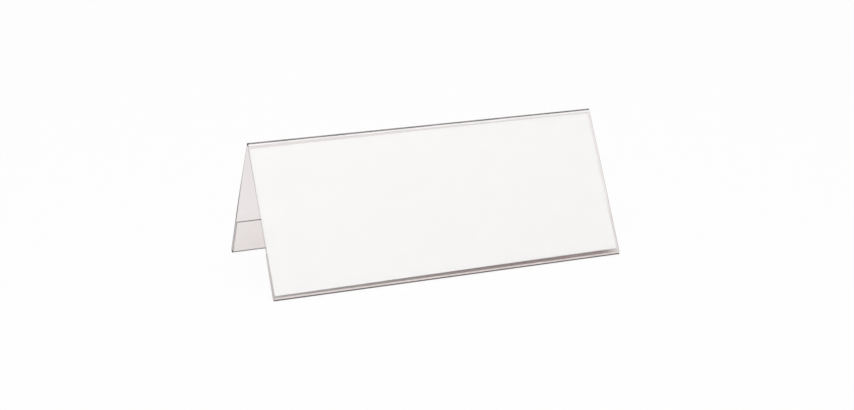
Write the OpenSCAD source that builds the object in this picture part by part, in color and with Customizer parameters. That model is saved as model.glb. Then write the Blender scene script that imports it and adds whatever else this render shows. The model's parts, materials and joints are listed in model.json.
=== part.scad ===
// Name tent: a clear film holder with a ridge fold and two return flaps, and the card in its front pocket.
// Frame: origin on the table under the middle of the ridge, +X along the ridge, front towards -Y, +Z up.

/* [Holder] */
// Width of the film along the ridge, mm
film_w = 152; // [100:1:220]
// Length of a leaf down its slope, from the outside of the ridge to the outside of the foot, mm
leaf_len = 64.5; // [50:0.5:110]
// Angle between the two leaves as the tent stands, degrees
tent_angle = 60; // [40:1:90]
// Thickness of the clear film, mm
film_t = 0.4; // [0.3:0.05:0.6]
// Height of a return flap up the slope, from the outside of the foot, mm
flap_len = 19; // [10:0.5:30]
// Lean of the empty rear flap towards its panel, degrees
rear_lean = 1.5; // [0:0.1:2]

/* [Folds] */
// Inside radius of the ridge fold, mm
ridge_inner_r = 0.1; // [0.05:0.05:0.4]
// Inside radius of a foot fold, half the width of the pocket, mm
foot_inner_r = 0.6; // [0.35:0.05:0.7]
// Straight length of film that belongs to a fold on each side of its bend, mm
fold_leg = 0.5; // [0.3:0.1:1]

/* [Card] */
// Width of the card along the ridge, mm
card_w = 150.5; // [80:0.5:215]
// Height of the card up the slope, mm
card_h = 60; // [30:0.5:60.5]
// Thickness of the card, mm
card_t = 0.25; // [0.15:0.05:0.4]
// Gap between the card and the film on each side of it, mm
card_gap = 0.1; // [0.05:0.05:0.15]
// Height of the card's lower edge up the slope, from the outside of the foot, mm
card_lift = 2.3; // [1.5:0.1:2.5]
// Sideways place of the card in the pocket, mm
card_shift = -0.2; // [-1:0.1:1]
// Lean of the card in its pocket, right end up, degrees
card_skew = 0.3; // [0:0.1:0.3]

/* [Hidden] */

$fn = 96;
clear_film = [0.93, 0.90, 0.89, 0.35];
card_white = [0.97, 0.97, 0.96];

half_angle = tent_angle / 2;
ridge_r = ridge_inner_r + film_t;
foot_r = foot_inner_r + film_t;

// Slope distance from the ridge axis to a foot axis
leaf_run = leaf_len - ridge_r - foot_r;
// A foot axis lies this far outside the plane through the ridge axis, so it is negative on the inside
foot_offset = ridge_r - foot_r;
// Height of the ridge axis that puts the outside of the foot folds on the table
ridge_z = foot_r + leaf_run * cos(half_angle) - foot_offset * sin(half_angle);

// Length of a flap up the slope from the foot axis
flap_run = flap_len - foot_r;
// The front flap springs back towards its panel and rests on the card
front_lean = asin((2 * foot_inner_r - card_t - 2 * card_gap) / flap_run);

// Place of the card in the front leaf: its middle up the slope from the ridge axis, and its back face
card_mid = card_lift + card_h / 2 - foot_r - leaf_run;
card_back = ridge_inner_r - card_gap - card_t;

// Sections are drawn in a leaf's own plane: x up the slope from the ridge axis, y out of the leaf.
// The leaf lies at negative x.

// Draws a leaf's section out along the ridge, and leans it as the front leaf
module front_leaf()
    translate([0, 0, ridge_z])
        rotate([90 - half_angle, 0, 0])
            rotate([90, 0, 90])
                linear_extrude(film_w, center = true)
                    children();

// The same for the rear leaf, behind the ridge
module rear_leaf()
    mirror([0, 1, 0]) front_leaf() children();

// A straight run of film between two places on the slope, with its inside face at height y
module film_run(x_low, x_high, y)
    translate([x_low, y]) square([x_high - x_low, film_t]);

// The ring that a bend of film is cut from
module bend_ring(inner_r)
    difference() {
        circle(inner_r + film_t);
        circle(inner_r);
    }

module panel_section()
    film_run(-leaf_run + fold_leg, -fold_leg, ridge_inner_r);

// Places a section at the foot axis, turned towards the panel
module at_foot(lean = 0)
    translate([-leaf_run, foot_offset]) rotate(lean) children();

module flap_section(lean)
    at_foot(lean) film_run(fold_leg, flap_run, -foot_r);

// The foot turns from the panel round to the flap, a little over half a circle
module foot_section(lean) {
    at_foot() {
        intersection() {
            bend_ring(foot_inner_r);
            polygon(2 * foot_r * [[0, 0], [0, 1], [-1, 1], [-1, -1], [sin(lean), -cos(lean)]]);
        }
        film_run(0, fold_leg, foot_inner_r);
    }
    at_foot(lean) film_run(0, fold_leg, -foot_r);
}

// Half of the ridge bend, from the front leaf's face to the top of the ridge, with its leg
module ridge_half_section() {
    intersection() {
        bend_ring(ridge_inner_r);
        polygon(2 * ridge_r * [[0, 0], [0, 1], [1, 1], [cos(half_angle), sin(half_angle)]]);
    }
    film_run(-fold_leg, 0, ridge_inner_r);
}

module front_panel()
    color(clear_film) front_leaf() panel_section();

module rear_panel()
    color(clear_film) rear_leaf() panel_section();

module ridge_fold()
    color(clear_film) {
        front_leaf() ridge_half_section();
        rear_leaf() ridge_half_section();
    }

module front_foot_fold()
    color(clear_film) front_leaf() foot_section(front_lean);

module rear_foot_fold()
    color(clear_film) rear_leaf() foot_section(rear_lean);

module front_flap()
    color(clear_film) front_leaf() flap_section(front_lean);

module rear_flap()
    color(clear_film) rear_leaf() flap_section(rear_lean);

// The card leans a little in its pocket, so it is turned in its own plane
module name_card()
    color(card_white)
        translate([0, 0, ridge_z])
            rotate([90 - half_angle, 0, 0])
                translate([card_shift, card_mid, card_back])
                    rotate([0, 0, card_skew])
                        translate([-card_w / 2, -card_h / 2, 0])
                            cube([card_w, card_h, card_t]);

front_panel();
ridge_fold();
rear_panel();
front_foot_fold();
front_flap();
rear_foot_fold();
rear_flap();
name_card();
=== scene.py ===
import json
import math
from collections import namedtuple

import bmesh
import bpy
from mathutils import Matrix, Vector


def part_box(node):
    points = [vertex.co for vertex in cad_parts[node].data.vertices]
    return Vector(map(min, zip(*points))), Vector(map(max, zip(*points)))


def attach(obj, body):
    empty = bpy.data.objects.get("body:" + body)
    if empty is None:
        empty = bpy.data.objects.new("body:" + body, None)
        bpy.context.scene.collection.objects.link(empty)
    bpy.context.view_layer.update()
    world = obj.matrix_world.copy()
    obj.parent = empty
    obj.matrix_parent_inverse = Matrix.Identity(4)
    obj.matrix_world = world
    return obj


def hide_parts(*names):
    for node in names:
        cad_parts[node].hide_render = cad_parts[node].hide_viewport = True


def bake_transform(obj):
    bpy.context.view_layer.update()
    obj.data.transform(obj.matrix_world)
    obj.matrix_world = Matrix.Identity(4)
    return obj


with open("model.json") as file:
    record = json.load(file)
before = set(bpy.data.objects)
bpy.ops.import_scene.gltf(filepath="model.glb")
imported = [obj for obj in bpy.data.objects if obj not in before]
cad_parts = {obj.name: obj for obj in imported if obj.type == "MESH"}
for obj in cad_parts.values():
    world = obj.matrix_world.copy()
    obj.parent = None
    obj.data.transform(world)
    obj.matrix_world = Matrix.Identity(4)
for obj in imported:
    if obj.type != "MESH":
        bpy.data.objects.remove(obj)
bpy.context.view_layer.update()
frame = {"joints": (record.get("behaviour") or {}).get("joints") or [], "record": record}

# Sizes of the film, in metres and radians
MM = 0.001
FILM_T = 0.4 * MM
FOLD_LEG = 0.5 * MM  # straight film on each side of a bend
FLAP_LEN = 19 * MM  # a flap's height up the slope from the outside of its foot
FRONT_FLAP_GAP = 0.45 * MM  # room for the card under the front flap's top edge
REAR_LEAN = math.radians(1.5)  # lean of the empty rear flap towards its panel
FRONT_BOW = 0.15 * MM  # how far each panel swells outwards at half height
REAR_BOW = 0.5 * MM

# Strips of film with painted shade or painted highlight, beside its cuts and along its folds
EDGE_SHADE_W = 0.25 * MM  # beside a panel's cut sides
FLAP_EDGE_SHADE_W = 0.45 * MM  # beside a flap's cut sides
LIP_W = 0.3 * MM  # below a flap's top edge
END_OF_FOLD_SHADE_W = 0.7 * MM  # painted shade at the left end of a fold
RIDGE_SHADE_LEG = 0.3 * MM  # painted shade on each side of the ridge bend
RIDGE_HIGHLIGHT_END = 1.0 * MM  # end of the painted highlight beyond it
SHADE_LINE_START = math.radians(35)  # turn round a foot, from its panel, where the painted shade line begins
SHADE_LINE_END = math.radians(115)  # and where it ends
BOTTOM_SHADE_FROM = math.radians(155)  # turn where the painted shade in the pocket begins
BOTTOM_SHADE_TOP = 1.5 * MM  # where it ends, up the flap from the foot axis

# Size of the card
CARD_T = 0.25 * MM
CARD_W = 150.5 * MM
CARD_H = 60 * MM
CARD_SKEW = math.radians(0.3)  # its lean in the pocket, right end up
CARD_CURL = 0.03 * MM

# How finely the sheets are divided
SHEET_STEPS = 24  # along the ridge
RIDGE_STEPS = 16  # round the ridge bend
GRADED_ROW = 1.4 * MM  # a row just below the painted highlight
PANEL_FROM = 2 * MM  # where the even steps down a panel begin
PANEL_STEPS = 24
FOOT_STEPS = 24  # round a foot
FLAP_STEPS = 12  # up a flap
CARD_COLUMNS = 40
CARD_ROWS = 20
SHARP_TURN = math.radians(35)  # faces that meet at a wider turn have a sharp edge between them

# Distances and slant of two points beside a foot axis, which foot_and_flap works out and leaves unused
FOOT_REACH = 0.25 * MM  # to the panel's side of a foot axis
FLAP_REACH = 0.3 * MM  # to the flap's side of it
FOOT_SLANT = math.radians(10)  # slant of the way from panel to flap, up the slope

ALONG = Vector((1, 0, 0))
UPRIGHT = Vector((0, 0, 1))

# Places of the folds, from the frame
joints = {joint["name"]: joint for joint in frame["joints"]}
mounts = {mount["name"]: mount for mount in frame["record"]["mounts"]}
RIDGE = Vector(joints["ridge_bend"]["pos_m"])
FILM_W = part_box("front_panel")[1].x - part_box("front_panel")[0].x

# Finishes of the film, by their places in film_finishes
(FACE, BESIDE_EDGE, EDGE_SHADE, FLAP_EDGE_SHADE, EDGE, FLAP_EDGE, FRONT_FLAP_SIDE,
 RIDGE_SHADE, RIDGE_HIGHLIGHT, FOOT_HIGHLIGHT, FOOT_SHADE_LINE, END_OF_FOLD_SHADE, POCKET_SHADE, INSIDE) = range(14)
# Finishes of the card, by their places in card_finishes
SHEET, SHADED_CUT = range(2)

# A point of a section, with the finishes of the strips of outer and inner skin that begin there
Point = namedtuple("Point", "place normal outer inner")


class Leaf:
    """One leaf of the tent: the directions out of it and up its slope, and its foot axis.

    foot_mid and ridge_mid are the radii of the film's middle round the foot and the ridge. The foot's outside
    rests on the table, so its axis is as high as its outer radius."""

    def __init__(self, face, foot_joint, bow):
        self.out = Vector(mounts[face]["axis"]).normalized()
        self.up = (UPRIGHT - self.out * self.out.z).normalized()
        self.foot = Vector(joints[foot_joint]["pos_m"])
        self.foot_mid = self.foot.z - FILM_T / 2
        self.ridge_mid = (Vector(mounts[face]["pos_m"]) - RIDGE).dot(self.out) - FILM_T / 2
        self.run = (RIDGE - self.foot).dot(self.up)
        self.flap_run = FLAP_LEN - self.foot.z
        self.bow = bow

    def swell(self, distance):
        """How far the panel stands out at a slope distance from the ridge axis."""
        share = (distance - FOLD_LEG) / (self.run - 2 * FOLD_LEG)
        return self.bow * math.sin(math.pi * min(max(share, 0), 1)) ** 2

    def panel_point(self, distance, finish):
        place = RIDGE - self.up * distance + self.out * (self.ridge_mid + self.swell(distance))
        return Point(place, self.out, finish, finish)


front = Leaf("front_face", "front_flap_bend", FRONT_BOW)
rear = Leaf("rear_face", "rear_flap_bend", REAR_BOW)


def spaced(first, last, count):
    """count + 1 numbers from first to last, evenly apart."""
    return [first + (last - first) * step / count for step in range(count + 1)]


def sheet_columns(edge_shade):
    """Places along the ridge: each end of the film, its strip of painted edge shade and its painted fold-end
    shade, and even steps between.
    """
    half = FILM_W / 2
    inner = spaced(END_OF_FOLD_SHADE_W - half, half - END_OF_FOLD_SHADE_W, SHEET_STEPS)
    return [-half, edge_shade - half, *inner, half - edge_shade, half]


def sheet_solid(name, section, columns, thickness, beside, sides, ends):
    """A closed sheet whose section is drawn out along the ridge.

    beside holds the finishes of the outer and inner strips of plain face beside the cut sides, sides is the
    finish of the sides, and ends holds the finishes of the section's first and last end."""
    mesh = bmesh.new()
    sheet_place = mesh.loops.layers.uv.new("sheet")
    runs = [0.0]
    for before, after in zip(section, section[1:]):
        runs.append(runs[-1] + (after.place - before.place).length)
    grid, spots = {}, {}
    for column, x in enumerate(columns):
        for row, point in enumerate(section):
            for side in (0, 1):
                offset = point.normal * thickness * (0.5 - side)
                vertex = mesh.verts.new(point.place + offset + ALONG * x)
                grid[column, row, side] = vertex
                spots[vertex] = (x, runs[row])

    def face(corners, finish):
        made = mesh.faces.new([grid[corner] for corner in corners])
        made.material_index = finish
        made.smooth = True
        for loop in made.loops:
            loop[sheet_place].uv = spots[loop.vert]

    last_column, last_row = len(columns) - 1, len(section) - 1
    for column in range(last_column):
        for row in range(last_row):
            corners = [(column, row), (column, row + 1), (column + 1, row + 1), (column + 1, row)]
            for side, finish in enumerate((section[row].outer, section[row].inner)):
                # Strips beside the cut sides, and painted shade at the left ends of the folds
                if finish == FACE and column in (0, last_column - 1):
                    finish = beside[side]
                elif finish in (RIDGE_SHADE, FOOT_SHADE_LINE) and column in (0, 1):
                    finish = END_OF_FOLD_SHADE
                elif finish == RIDGE_HIGHLIGHT and column == 0:
                    finish = END_OF_FOLD_SHADE
                face([(*corner, side) for corner in corners], finish)
        for row, finish in zip((0, last_row), ends):
            face([(column, row, 0), (column, row, 1), (column + 1, row, 1), (column + 1, row, 0)], finish)
    for row in range(last_row):
        for column in (0, last_column):
            face([(column, row, 0), (column, row, 1), (column, row + 1, 1), (column, row + 1, 0)], sides)
    bmesh.ops.recalc_face_normals(mesh, faces=mesh.faces)
    data = bpy.data.meshes.new(name)
    mesh.to_mesh(data)
    mesh.free()
    data.set_sharp_from_angle(angle=SHARP_TURN)
    made = bpy.data.objects.new(name, data)
    bpy.context.scene.collection.objects.link(made)
    return made


class Value:
    """A shader value. Arithmetic on it adds Math nodes beside it."""

    def __init__(self, nodes, socket):
        self.nodes = nodes
        self.socket = socket

    def maths(self, operation, first, second):
        return self.nodes.node("ShaderNodeMath", {"operation": operation}, {0: first, 1: second})

    def __add__(self, other):
        return self.maths("ADD", self, other)

    __radd__ = __add__

    def __sub__(self, other):
        return self.maths("SUBTRACT", self, other)

    def __rsub__(self, other):
        return self.maths("SUBTRACT", other, self)

    def __mul__(self, other):
        return self.maths("MULTIPLY", self, other)

    __rmul__ = __mul__

    def __pow__(self, other):
        return self.maths("POWER", self, other)


class Nodes:
    """The nodes of one material or of the world."""

    def __init__(self, tree):
        self.tree = tree
        tree.nodes.clear()

    def node(self, kind, settings=None, sockets=None, output=0):
        """A new node with its settings and the values or links of its sockets. Gives one of its outputs."""
        made = self.tree.nodes.new(kind)
        for name, setting in (settings or {}).items():
            setattr(made, name, setting)
        for name, value in (sockets or {}).items():
            if isinstance(value, Value):
                self.tree.links.new(value.socket, made.inputs[name])
            else:
                made.inputs[name].default_value = value
        return Value(self, made.outputs[output]) if made.outputs else None

    def noise(self, place, scale, detail=2.0, stretch=(1, 1, 1)):
        """Even noise from 0 to 1, with scale features a metre."""
        place = self.node("ShaderNodeMapping", sockets={"Vector": place, "Scale": stretch})
        return self.node("ShaderNodeTexNoise", sockets={"Vector": place, "Scale": scale, "Detail": detail})

    def step(self, value, low, high):
        """0 below low, 1 above high, and smooth between."""
        sockets = {"Value": value, "From Min": low, "From Max": high}
        return self.node("ShaderNodeMapRange", {"interpolation_type": "SMOOTHSTEP"}, sockets)

    def shade(self, share, first, second):
        """The first colour where share is 0, and the second where it is 1."""
        sockets = {"Factor": share, 6: (*first, 1), 7: (*second, 1)}
        return self.node("ShaderNodeMix", {"data_type": "RGBA"}, sockets, output=2)

    def mixed(self, share, first, second):
        """The first shader where share is 0, and the second where it is 1."""
        return self.node("ShaderNodeMixShader", sockets={0: share, 1: first, 2: second})

    def bump(self, height, distance):
        return self.node("ShaderNodeBump", sockets={"Height": height, "Distance": distance})

    def sheet_place(self):
        """Place on the flat sheet, in metres."""
        return self.node("ShaderNodeTexCoord", output="UV")

    def along(self, place):
        """How far right of the middle a place on the sheet is."""
        return self.node("ShaderNodeSeparateXYZ", sockets={0: place}, output="X")

    def run(self, place):
        """How far a place is from where its sheet begins, at the front foot or at a flap's panel."""
        return self.node("ShaderNodeSeparateXYZ", sockets={0: place}, output="Y")

    def clear(self, colour):
        return self.node("ShaderNodeBsdfTransparent", sockets={"Color": (*colour, 1)})

    def surface(self, shader):
        self.node("ShaderNodeOutputMaterial", sockets={"Surface": shader})


def new_material(name):
    material = bpy.data.materials.new(name)
    material.use_nodes = True
    return material, Nodes(material.node_tree)


# Share of light that clear film mirrors where it is met head on
HEAD_ON = 0.04
# Shares of red, green and blue that one skin of the film lets through
FILM_TINT = (0.997, 0.992, 0.990)
WHITE = (1, 1, 1)


def gloss_share(nodes):
    """How much a clear surface mirrors, from head on to edge on."""
    facing = nodes.node("ShaderNodeLayerWeight", sockets={"Blend": 0.5}, output="Facing")
    return HEAD_ON + (1 - HEAD_ON) * facing ** 5


def clear_film(name, haze):
    """Glossy clear film with a faint tint, a breath of haze and hairline scuffs from handling."""
    material, nodes = new_material(name)
    place = nodes.sheet_place()
    ripple = nodes.noise(place, scale=38, detail=1.0)
    clouds = nodes.noise(place, scale=70, detail=3.0)
    scuff_lines = nodes.noise(place, scale=60, stretch=(1, 26, 1))
    scuffs = nodes.step(scuff_lines, low=0.66, high=0.74) * nodes.step(clouds, low=0.45, high=0.7)
    fogged = haze * (0.5 + clouds) + 0.03 * scuffs
    normal = nodes.bump(ripple, distance=0.15 * MM)
    fog = nodes.node("ShaderNodeBsdfPrincipled", sockets={
        "Base Color": (0.88, 0.85, 0.85, 1), "Roughness": 0.55, "Normal": normal})
    gloss = nodes.node("ShaderNodeBsdfAnisotropic", sockets={
        "Color": (*WHITE, 1), "Roughness": 0.05 + 0.08 * clouds, "Normal": normal})
    pane = nodes.mixed(fogged, nodes.clear(FILM_TINT), fog)
    nodes.surface(nodes.mixed(gloss_share(nodes), pane, gloss))
    return material


def even(nodes, place):
    """The same all over the sheet."""
    return 1.0


def pocket_shade_spread(nodes, place):
    """The painted shade in a pocket thickens from its left end to its right, and thins out in the right
    mouth.
    """
    along = nodes.along(place)
    from_left = nodes.step(along, low=-FILM_W / 2, high=FILM_W / 4)
    right_mouth = nodes.step(along, low=FILM_W / 2 - 9 * MM, high=FILM_W / 2 - 1 * MM)
    return (0.05 + 0.95 * from_left) * (1 - 0.8 * right_mouth)


def edge_shade_toward_feet(nodes, place):
    """Painted edge shade grows from the ridge down both leaves, and is less where a flap covers it."""
    from_ridge = (nodes.run(place) - front.run) * (1 / front.run)
    down = from_ridge * from_ridge
    grown = nodes.step(down, low=0.0, high=0.4)
    covered = nodes.step(down, low=0.47, high=0.56)
    return grown * (1 - 0.5 * covered)


def cut_edge_shade_spread(nodes, place):
    """Painted shade on a cut edge: a left edge is lighter at the front foot and behind the ridge, a right one
    from the ridge back.
    """
    run = nodes.run(place)
    right = nodes.step(nodes.along(place), low=-1 * MM, high=1 * MM)
    at_front_foot = 1 - nodes.step(run, low=0.0, high=front.run)
    past_ridge = nodes.step(run, low=front.run, high=1.01 * front.run)
    down_rear = nodes.step(run, low=1.02 * front.run, high=1.4 * front.run)
    left_lighter = 0.95 * at_front_foot + 0.6 * past_ridge * (1 - down_rear)
    right_lighter = 0.7 * (1 - at_front_foot)
    return 1 - left_lighter * (1 - right) - right_lighter * right


def painted_light_film(name, dark, pale, body, from_behind, gloss=0.0, spread=even):
    """Film painted with shade or highlight at a cut or a fold: some light goes through, and the rest is a
    streaky grey.

    body is the share of grey, from_behind is how much of it shows from the other side of the skin, gloss is
    its clear shine, and spread gives how much of the grey there is at a place."""
    material, nodes = new_material(name)
    place = nodes.sheet_place()
    streaks = nodes.noise(place, scale=90, detail=3.0, stretch=(1, 8, 1))
    fog = nodes.node("ShaderNodeBsdfPrincipled", sockets={
        "Base Color": nodes.shade(nodes.step(streaks, low=0.3, high=0.7), dark, pale),
        "Roughness": 0.25 + 0.2 * streaks,
        "Coat Weight": gloss,
        "Coat Roughness": 0.06})
    behind = nodes.node("ShaderNodeNewGeometry", output="Backfacing")
    share = body * (0.85 + 0.3 * streaks) * (1 - (1 - from_behind) * behind) * spread(nodes, place)
    nodes.surface(nodes.mixed(share, nodes.clear(FILM_TINT), fog))
    return material


def cut_film(name, body, spread=even):
    """The sheared edge of the film, painted dark: painted shade for the light that it sends along inside the
    sheet.
    """
    material, nodes = new_material(name)
    place = nodes.sheet_place()
    nicks = nodes.noise(place, scale=400, detail=3.0)
    dark, pale = (0.05, 0.042, 0.045), (0.10, 0.085, 0.09)
    fog = nodes.node("ShaderNodeBsdfPrincipled", sockets={
        "Base Color": nodes.shade(nodes.step(nicks, low=0.35, high=0.65), dark, pale),
        "Roughness": 0.3 + 0.3 * nicks,
        "Specular IOR Level": 0.2,
        "Normal": nodes.bump(nicks, distance=0.03 * MM)})
    from_inside = nodes.node("ShaderNodeNewGeometry", output="Backfacing")
    share = body * (0.8 + 0.4 * nicks) * (1 - 0.35 * from_inside) * spread(nodes, place)
    nodes.surface(nodes.mixed(share, nodes.clear(FILM_TINT), fog))
    return material


def film_inside():
    """The plane where two lengths of one sheet meet: nothing shows there."""
    material, nodes = new_material("film_inside")
    nodes.surface(nodes.clear(WHITE))
    return material


def card_paper(name, pale, shaded):
    """Smooth uncoated card: soft mottling from its fibres, and a fine tooth."""
    material, nodes = new_material(name)
    place = nodes.sheet_place()
    mottle = nodes.noise(place, scale=120, detail=4.0)
    fibres = nodes.noise(place, scale=1500, detail=3.0, stretch=(1, 2.2, 1))
    tooth = 0.7 * fibres + 0.3 * nodes.noise(place, scale=5200)
    paleness = nodes.step(0.6 * mottle + 0.4 * fibres, low=0.3, high=0.7)
    paper = nodes.node("ShaderNodeBsdfPrincipled", sockets={
        "Base Color": nodes.shade(paleness, shaded, pale),
        "Roughness": 0.72 + 0.16 * fibres,
        "Specular IOR Level": 0.3,
        "Normal": nodes.bump(tooth, distance=0.012 * MM)})
    nodes.surface(paper)
    return material


film_finishes = [
    clear_film("clear_film", haze=0.006),
    clear_film("film_beside_edge", haze=0.05),
    # Painted shade in strips beside the cut sides of the panels and flaps, and below each flap's top edge
    painted_light_film("film_edge_shade", dark=(0.07, 0.06, 0.06), pale=(0.15, 0.13, 0.13), body=1.0, from_behind=0.04,
                spread=edge_shade_toward_feet),
    painted_light_film("flap_edge_shade", dark=(0.1, 0.09, 0.09), pale=(0.2, 0.18, 0.18), body=0.4, from_behind=0.15),
    cut_film("film_cut_edge", body=0.92, spread=cut_edge_shade_spread),
    cut_film("flap_cut_edge", body=0.88),
    cut_film("front_flap_side", body=0.05),
    # Painted shade round the ridge bend, under a clear coat
    painted_light_film("ridge_painted_shade", dark=(0.09, 0.08, 0.08), pale=(0.19, 0.175, 0.175), body=0.72, from_behind=1,
                gloss=1.0),
    # Painted highlight just below the ridge bend on each leaf
    painted_light_film("ridge_painted_highlight", dark=(0.86, 0.85, 0.85), pale=(0.92, 0.91, 0.91), body=0.92, from_behind=1),
    # Painted highlight round the outside of each foot bend
    painted_light_film("foot_painted_highlight", dark=(0.77, 0.69, 0.67), pale=(0.88, 0.80, 0.78), body=0.8, from_behind=0,
                gloss=1.0),
    # Painted shade along the underside of each foot bend, seen from outside
    painted_light_film("foot_painted_shade_line", dark=(0.05, 0.037, 0.034), pale=(0.1, 0.078, 0.074), body=0.95, from_behind=0),
    # Painted shade at the left ends of the folds
    painted_light_film("end_of_fold_painted_shade", dark=(0.03, 0.025, 0.025), pale=(0.06, 0.05, 0.05), body=0.9, from_behind=1),
    # Painted shade in the bottom of each pocket
    painted_light_film("pocket_painted_shade", dark=(0.175, 0.085, 0.065), pale=(0.255, 0.155, 0.135), body=0.65,
                from_behind=0, spread=pocket_shade_spread),
    film_inside(),
]
card_finishes = [
    card_paper("white_card", pale=(0.907, 0.922, 0.922), shaded=(0.887, 0.902, 0.902)),
    # The card's cut sides and ends are a darker copy of the card: painted shade
    card_paper("white_card_cut_painted_shade", pale=(0.79, 0.80, 0.80), shaded=(0.72, 0.73, 0.73)),
]


def finish_piece(piece, finishes, slot, *nodes):
    """Gives a piece the finishes that its faces use, and hides the CAD parts of the nodes it stands for. The
    slot is not used.
    """
    used = sorted({face.material_index for face in piece.data.polygons})
    for face in piece.data.polygons:
        face.material_index = used.index(face.material_index)
    for finish in used:
        piece.data.materials.append(finishes[finish])
    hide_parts(*nodes)


def panel_distances(leaf):
    """Slope distances from the ridge axis down to the foot fold, close together beside the crease."""
    down_panel = spaced(PANEL_FROM, leaf.run - FOLD_LEG, PANEL_STEPS)
    return [0, RIDGE_SHADE_LEG, RIDGE_HIGHLIGHT_END, GRADED_ROW, *down_panel]


def ridge_finish(distance):
    """Finish of the film that begins at a slope distance from the ridge axis."""
    # Painted shade beside the ridge bend, then a painted highlight, then clear face
    return RIDGE_SHADE if distance < RIDGE_SHADE_LEG else RIDGE_HIGHLIGHT if distance < RIDGE_HIGHLIGHT_END else FACE


def film_sheet():
    """Both leaves and the ridge between them, in one sheet."""
    tilt = math.acos(front.out.z)
    section = []
    down_front = panel_distances(front)
    for distance, nearer in zip(reversed(down_front), [*reversed(down_front[:-1]), 0]):
        section.append(front.panel_point(distance, ridge_finish(nearer)))
    # Painted shade all round the ridge bend
    for angle in spaced(-tilt, tilt, RIDGE_STEPS)[1:-1]:
        normal = Vector((0, math.sin(angle), math.cos(angle)))
        section.append(Point(RIDGE + normal * front.ridge_mid, normal, RIDGE_SHADE, RIDGE_SHADE))
    for distance in panel_distances(rear):
        section.append(rear.panel_point(distance, ridge_finish(distance)))
    # The inner skin's strip beside the panels' cut sides carries painted edge shade
    sheet = sheet_solid("film_sheet", section, sheet_columns(EDGE_SHADE_W), FILM_T,
                        beside=(BESIDE_EDGE, EDGE_SHADE), sides=EDGE, ends=(INSIDE, INSIDE))
    finish_piece(sheet, film_finishes, "clear_film", "front_panel", "ridge_fold", "rear_panel")
    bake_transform(sheet)


def foot_and_flap(name, leaf, lean, sides, nodes):
    """The film below a panel: it turns round the foot and stands up again as the flap."""
    section = []
    # The painted highlight begins where the panel meets the foot
    for leg, outer in ((FOLD_LEG, FACE), (0, FOOT_HIGHLIGHT)):
        section.append(Point(leaf.foot + leaf.up * leg + leaf.out * leaf.foot_mid, leaf.out, outer, FACE))
    for angle in spaced(0, math.pi + lean, FOOT_STEPS)[1:]:
        normal = leaf.out * math.cos(angle) - leaf.up * math.sin(angle)
        # Outer skin round a foot: painted highlight first, then a painted shade line underneath
        outer = FOOT_HIGHLIGHT if angle < SHADE_LINE_START else FOOT_SHADE_LINE if angle < SHADE_LINE_END else FACE
        # Inner skin: painted shade in the bottom of the pocket
        inner = FACE if angle < BOTTOM_SHADE_FROM else POCKET_SHADE
        section.append(Point(leaf.foot + normal * leaf.foot_mid, normal, outer, inner))
    flap_up = leaf.up * math.cos(lean) + leaf.out * math.sin(lean)
    normal = leaf.up * math.sin(lean) - leaf.out * math.cos(lean)
    lip_from = leaf.flap_run - LIP_W
    plain_rows = [(run, FACE, FACE) for run in spaced(BOTTOM_SHADE_TOP, lip_from, FLAP_STEPS)[:-1]]
    # Painted edge shade below the flap's top edge
    lip_rows = [(run, FLAP_EDGE_SHADE, BESIDE_EDGE) for run in (lip_from, leaf.flap_run)]
    # The flap's first row carries the pocket's painted shade on its inner skin
    for run, outer, inner in [(FOLD_LEG, FACE, POCKET_SHADE), *plain_rows, *lip_rows]:
        section.append(Point(leaf.foot + normal * leaf.foot_mid + flap_up * run, normal, outer, inner))
    piece = sheet_solid(name, section, sheet_columns(FLAP_EDGE_SHADE_W), FILM_T,
                        beside=(FLAP_EDGE_SHADE, BESIDE_EDGE), sides=sides, ends=(INSIDE, FLAP_EDGE))
    finish_piece(piece, film_finishes, "clear_film", *nodes)
    across = leaf.up * math.sin(FOOT_SLANT) - leaf.out * math.cos(FOOT_SLANT)
    leaf.foot - across * FOOT_REACH
    leaf.foot + across * FLAP_REACH
    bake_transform(piece)


def name_card():
    """The blank card in the front pocket, with the slight curl of cut card."""
    low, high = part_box("name_card")
    middle = (low + high) / 2
    section = []
    for rise in spaced(-CARD_H / 2, CARD_H / 2, CARD_ROWS):
        curl = CARD_CURL * math.cos(math.pi * rise / CARD_H)
        place = front.up * rise - front.out * curl
        section.append(Point(place, front.out, SHEET, SHEET))
    # Its cut sides and ends take the card's darker copy, painted shade
    card = sheet_solid("name_card_sheet", section, spaced(-CARD_W / 2, CARD_W / 2, CARD_COLUMNS), CARD_T,
                       beside=(SHEET, SHEET), sides=SHADED_CUT, ends=(SHADED_CUT, SHADED_CUT))
    card.data.transform(Matrix.Translation(middle) @ Matrix.Rotation(CARD_SKEW, 4, front.out))
    finish_piece(card, card_finishes, "white_card", "name_card")
    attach(card, "card")


pocket_w = 2 * (front.foot.z - FILM_T)
front_lean = math.asin((pocket_w - FRONT_FLAP_GAP) / front.flap_run)
film_sheet()
foot_and_flap("front_foot_and_flap", front, front_lean, FRONT_FLAP_SIDE,
              ("front_foot_fold", "front_flap"))
foot_and_flap("rear_foot_and_flap", rear, REAR_LEAN, FLAP_EDGE,
              ("rear_foot_fold", "rear_flap"))
name_card()

# Stage: a white floor that runs out of sight, and a white surround
FLOOR_HALF = 20.0
FLOOR_TONE = (0.732, 0.700, 0.700)  # the floor's own colour, as it shows through the film
FLOOR_LIFT = 0.94  # share of the bare floor that shows plain white, so that the shadow stays light
AMBIENT = 0.485  # strength of the surround as light on the object

# The photograph's camera
VIEW_FROM = Vector((-237.6, -603.7, 228.2)) * MM
VIEW_AZIMUTH = math.radians(-21.56)
VIEW_ELEVATION = math.radians(17.67)
FOCAL_LENGTH = 68.16  # in millimetres, like the sensor's width
SENSOR_W = 36.0


def seen_directly(nodes):
    """1 for what the camera sees, also in a mirror or through glass."""
    names = ("Is Camera Ray", "Is Glossy Ray", "Is Transmission Ray")
    camera, glossy, through = (nodes.node("ShaderNodeLightPath", output=name) for name in names)
    return nodes.step(camera + glossy + through, low=0.0, high=1.0)


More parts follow.
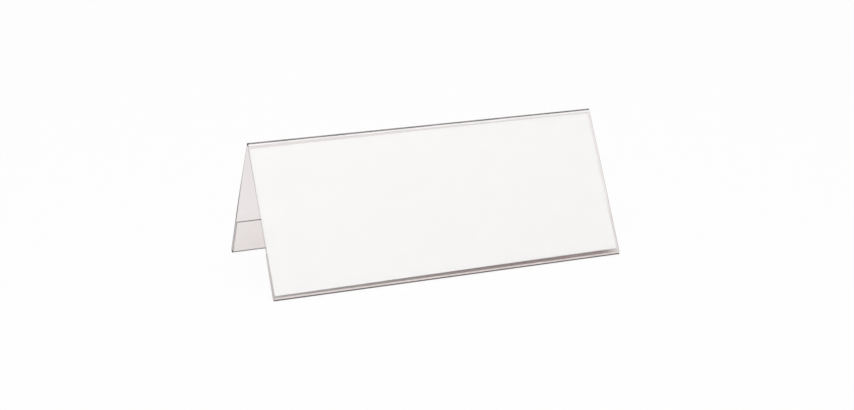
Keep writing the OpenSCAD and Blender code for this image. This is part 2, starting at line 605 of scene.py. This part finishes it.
def floor():
    """The floor shows white where it is bare, and its own tone through the film."""
    corners = [(-1, -1, 0), (1, -1, 0), (1, 1, 0), (-1, 1, 0)]
    data = bpy.data.meshes.new("floor")
    data.from_pydata([Vector(corner) * FLOOR_HALF for corner in corners], [], [(0, 1, 2, 3)])
    plane = bpy.data.objects.new("floor", data)
    bpy.context.scene.collection.objects.link(plane)
    material, nodes = new_material("pale_floor")
    matte = nodes.node("ShaderNodeBsdfDiffuse", sockets={"Color": (*FLOOR_TONE, 1)})
    white = nodes.node("ShaderNodeEmission", sockets={"Color": (*WHITE, 1), "Strength": 1.0})
    layers = nodes.node("ShaderNodeLightPath", output="Transparent Depth")
    behind_film = nodes.step(layers, low=0.0, high=1.0)
    nodes.surface(nodes.mixed(FLOOR_LIFT * seen_directly(nodes) * (1 - behind_film), matte, white))
    data.materials.append(material)


def surround():
    """The surround shows plain white, and lights the object more softly."""
    world = bpy.data.worlds.new("white_surround")
    world.use_nodes = True
    bpy.context.scene.world = world
    nodes = Nodes(world.node_tree)
    strength = AMBIENT + (1 - AMBIENT) * seen_directly(nodes)
    light = nodes.node("ShaderNodeBackground", sockets={"Color": (*WHITE, 1), "Strength": strength})
    nodes.node("ShaderNodeOutputWorld", sockets={"Surface": light})


def softbox(name, place, size, power):
    """A square lamp that faces the origin, in metres and watts."""
    lamp = bpy.data.lights.new(name, "AREA")
    lamp.size = size
    lamp.energy = power
    box = bpy.data.objects.new(name, lamp)
    box.location = place
    box.rotation_mode = "QUATERNION"
    box.rotation_quaternion = (-Vector(place)).to_track_quat("-Z", "Y")
    box.visible_camera = False
    bpy.context.scene.collection.objects.link(box)


def camera():
    """The camera stands at the photograph's viewpoint and looks along its line of sight."""
    level = math.cos(VIEW_ELEVATION)
    back = Vector((math.sin(VIEW_AZIMUTH) * level, -math.cos(VIEW_AZIMUTH) * level, math.sin(VIEW_ELEVATION)))
    lens = bpy.data.cameras.new("photo_view")
    lens.sensor_width = SENSOR_W
    lens.lens = FOCAL_LENGTH
    view = bpy.data.objects.new("photo_view", lens)
    view.location = VIEW_FROM
    view.rotation_mode = "QUATERNION"
    view.rotation_quaternion = (-back).to_track_quat("-Z", "Y")
    bpy.context.scene.collection.objects.link(view)
    bpy.context.scene.camera = view


floor()
surround()
softbox("key_front_left", place=(-0.35, -0.65, 1.25), size=1.0, power=10.2)
softbox("fill_above", place=(0.15, -0.3, 1.35), size=0.8, power=4.3)
softbox("fill_behind", place=(0.3, 1.0, 0.9), size=0.8, power=3.6)
camera()
bpy.context.scene.view_settings.view_transform = "Standard"
